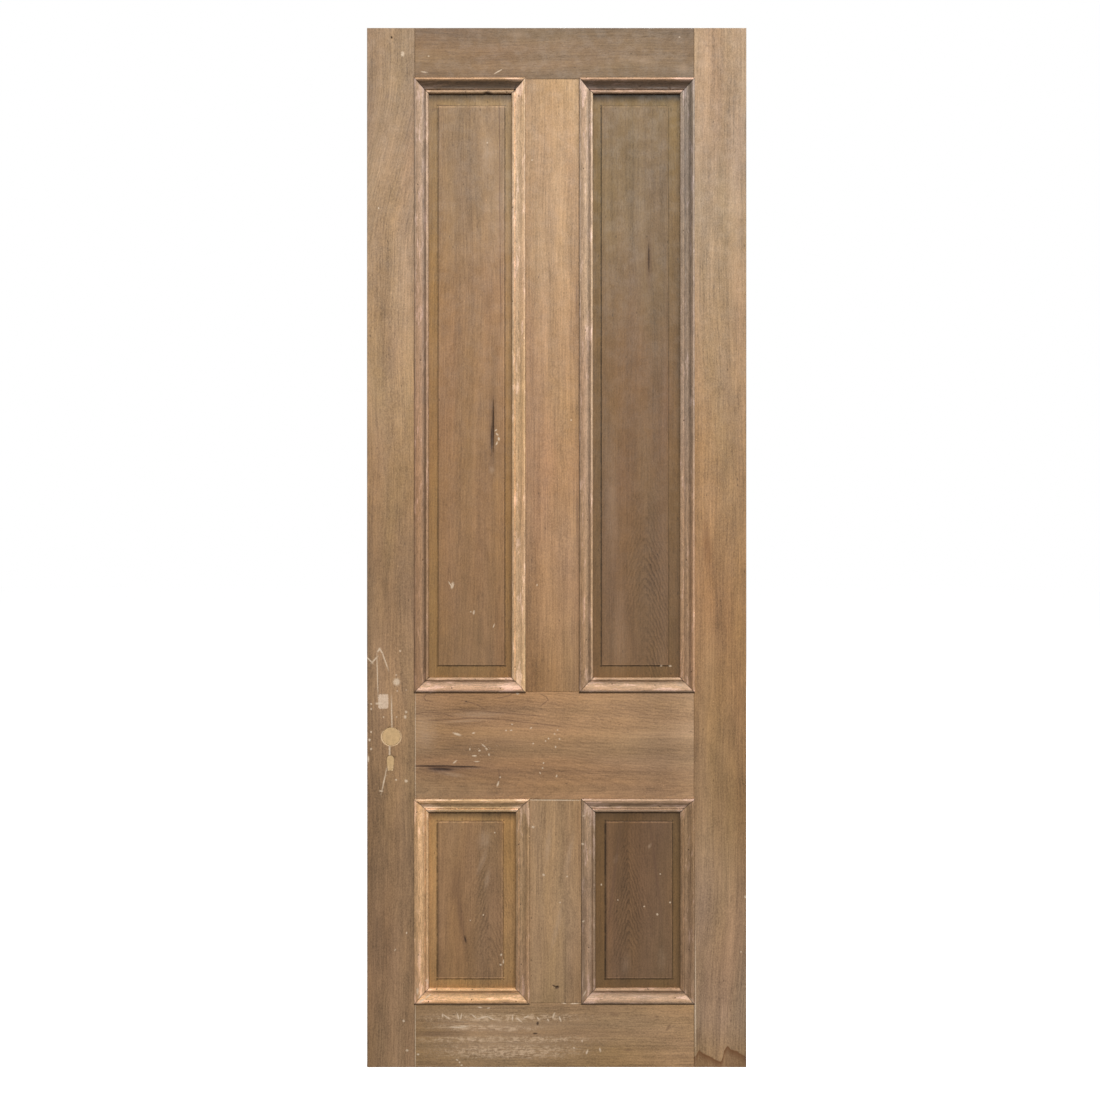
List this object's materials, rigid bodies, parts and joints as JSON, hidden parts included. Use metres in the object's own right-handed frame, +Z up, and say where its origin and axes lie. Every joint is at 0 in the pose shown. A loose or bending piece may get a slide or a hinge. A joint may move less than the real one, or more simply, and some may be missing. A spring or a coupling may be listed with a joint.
{
  "type": "panelled wooden door",
  "caption": "Tall narrow interior door leaf of stripped wood, with raised panels in mitred mouldings round a wide lock rail.",
  "frame": {"origin": "middle of the hinge edge, at half the leaf's height and half its thickness", "axes": "+Z up along the hinge edge, +X out of the hinge edge, to the right as seen from the front, +Y from the moulded front to the plainer back"},
  "size_m": [0.914, 0.0515, 2.504],
  "materials": {
    "stile_wood": "bare stripped wood, matt",
    "rail_wood": "bare stripped wood, scuffed, matt",
    "muntin_wood": "bare stripped wood, matt",
    "panel_wood": "bare stripped wood, darker, matt",
    "moulding_wood": "bare stripped wood, worn, matt",
    "back_moulding_wood": "bare stripped wood, matt",
    "knob_plug_wood": "pale bare wood, matt",
    "keyhole_filler": "pale rough filler, matt"
  },
  "bodies": {
    "root": {"lock_stile": "stile_wood", "hinge_stile": "stile_wood", "top_rail": "rail_wood", "lock_rail": "rail_wood", "bottom_rail": "rail_wood", "upper_muntin": "muntin_wood", "lower_muntin": "muntin_wood", "upper_left_panel": "panel_wood", "upper_right_panel": "panel_wood", "lower_left_panel": "panel_wood", "lower_right_panel": "panel_wood", "upper_left_moulding_top": "moulding_wood", "upper_left_moulding_right": "moulding_wood", "upper_left_moulding_bottom": "moulding_wood", "upper_left_moulding_left": "moulding_wood", "upper_right_moulding_top": "moulding_wood", "upper_right_moulding_right": "moulding_wood", "upper_right_moulding_bottom": "moulding_wood", "upper_right_moulding_left": "moulding_wood", "lower_left_moulding_top": "moulding_wood", "lower_left_moulding_right": "moulding_wood", "lower_left_moulding_bottom": "moulding_wood", "lower_left_moulding_left": "moulding_wood", "lower_right_moulding_top": "moulding_wood", "lower_right_moulding_right": "moulding_wood", "lower_right_moulding_bottom": "moulding_wood", "lower_right_moulding_left": "moulding_wood", "upper_left_back_moulding_top": "back_moulding_wood", "upper_left_back_moulding_right": "back_moulding_wood", "upper_left_back_moulding_bottom": "back_moulding_wood", "upper_left_back_moulding_left": "back_moulding_wood", "upper_right_back_moulding_top": "back_moulding_wood", "upper_right_back_moulding_right": "back_moulding_wood", "upper_right_back_moulding_bottom": "back_moulding_wood", "upper_right_back_moulding_left": "back_moulding_wood", "lower_left_back_moulding_top": "back_moulding_wood", "lower_left_back_moulding_right": "back_moulding_wood", "lower_left_back_moulding_bottom": "back_moulding_wood", "lower_left_back_moulding_left": "back_moulding_wood", "lower_right_back_moulding_top": "back_moulding_wood", "lower_right_back_moulding_right": "back_moulding_wood", "lower_right_back_moulding_bottom": "back_moulding_wood", "lower_right_back_moulding_left": "back_moulding_wood", "knob_hole_plug": "knob_plug_wood", "keyhole_plug": "keyhole_filler"}
  },
  "joints": []
}
